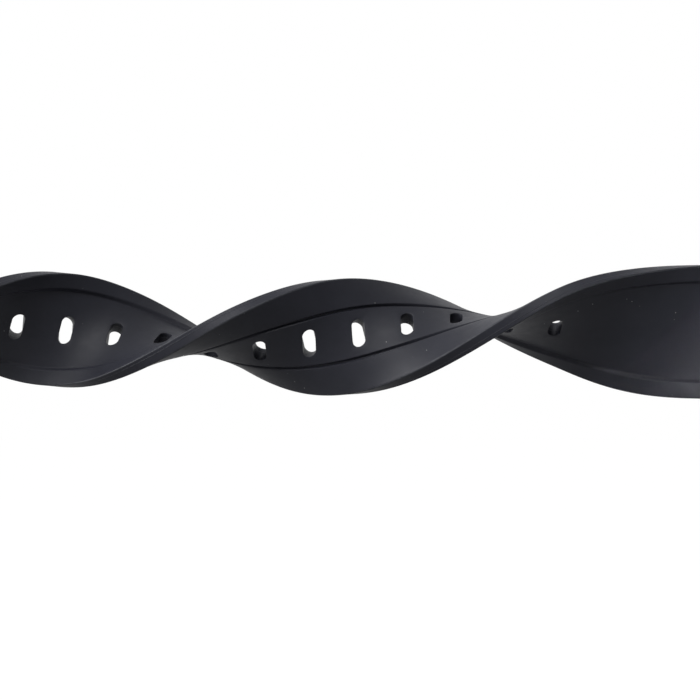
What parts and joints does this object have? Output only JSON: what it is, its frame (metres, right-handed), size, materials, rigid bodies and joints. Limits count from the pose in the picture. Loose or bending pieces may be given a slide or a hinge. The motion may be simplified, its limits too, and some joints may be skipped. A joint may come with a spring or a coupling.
{
  "type": "silicone watch strap",
  "caption": "Two-piece silicone watch strap with a slotted, twisted long half, quick-release spring bars, a pin buckle and two keepers.",
  "frame": {"origin": "middle of the long half's spring bar, where the watch's lugs hold it", "axes": "+Z along that bar, upwards; -X along the strap from the watch to the buckle; -Y towards the viewer of the picture"},
  "size_m": [0.2188, 0.0218, 0.0218],
  "materials": {
    "silicone": "matte black silicone",
    "keeper_silicone": "matte black silicone",
    "buckle_steel": "brushed stainless steel",
    "steel": "turned stainless steel",
    "spring_wire": "drawn spring wire"
  },
  "bodies": {
    "long_half": {"long_strap": "silicone", "long_bar_tube": "steel", "long_bar_spring": "spring_wire"},
    "long_top_tip": {"long_bar_tip_top": "steel"},
    "long_release": {"long_bar_tip_bottom": "steel", "long_bar_lever": "steel"},
    "short_half": {"short_strap": "silicone", "fixed_keeper": "keeper_silicone", "short_bar_tube": "steel", "short_bar_spring": "spring_wire", "buckle_bar_tube": "steel", "buckle_bar_spring": "spring_wire"},
    "short_left_tip": {"short_bar_tip_left": "steel"},
    "short_release": {"short_bar_tip_right": "steel", "short_bar_lever": "steel"},
    "buckle": {"buckle_frame": "buckle_steel"},
    "prong": {"buckle_prong": "buckle_steel"},
    "buckle_left_tip": {"buckle_bar_tip_left": "steel"},
    "buckle_right_tip": {"buckle_bar_tip_right": "steel"},
    "loose_keeper": {"free_keeper": "keeper_silicone"}
  },
  "joints": [
    {"name": "tail_slide", "type": "slide", "parent": "long_half", "child": "short_half", "axis": [-1, 0, 0], "range_m": [0, 0.02]},
    {"name": "keeper_slide", "type": "slide", "parent": "short_half", "child": "loose_keeper", "axis": [-1, 0, 0], "range_m": [0, 0.02]},
    {"name": "frame_hinge", "type": "hinge", "parent": "short_half", "child": "buckle", "pos_m": [-0.1392, -0.0023, -0.00255], "axis": [0, -1, 0], "range_deg": [0, 85]},
    {"name": "prong_hinge", "type": "hinge", "parent": "short_half", "child": "prong", "pos_m": [-0.1392, -0.0023, -0.00255], "axis": [0, 1, 0], "range_deg": [0, 120]},
    {"name": "long_tip_press", "type": "slide", "parent": "long_half", "child": "long_top_tip", "axis": [0, 0, -1], "range_m": [0, 0.0013], "stiffness_N_per_m": 400, "springref_m": -0.002, "deforming": ["long_bar_spring"]},
    {"name": "long_lever_pull", "type": "slide", "parent": "long_half", "child": "long_release", "axis": [0, 0, 1], "range_m": [0, 0.0013], "stiffness_N_per_m": 400, "springref_m": -0.002, "deforming": ["long_bar_spring"]},
    {"name": "short_tip_press", "type": "slide", "parent": "short_half", "child": "short_left_tip", "axis": [0, 1, 0], "range_m": [0, 0.0013], "stiffness_N_per_m": 400, "springref_m": -0.002, "deforming": ["short_bar_spring"]},
    {"name": "short_lever_pull", "type": "slide", "parent": "short_half", "child": "short_release", "axis": [0, -1, 0], "range_m": [0, 0.0013], "stiffness_N_per_m": 400, "springref_m": -0.002, "deforming": ["short_bar_spring"]},
    {"name": "buckle_left_press", "type": "slide", "parent": "short_half", "child": "buckle_left_tip", "axis": [0, 1, 0], "range_m": [0, 0.0013], "stiffness_N_per_m": 400, "springref_m": -0.002, "deforming": ["buckle_bar_spring"]},
    {"name": "buckle_right_press", "type": "slide", "parent": "short_half", "child": "buckle_right_tip", "axis": [0, -1, 0], "range_m": [0, 0.0013], "stiffness_N_per_m": 400, "springref_m": -0.002, "deforming": ["buckle_bar_spring"]}
  ]
}
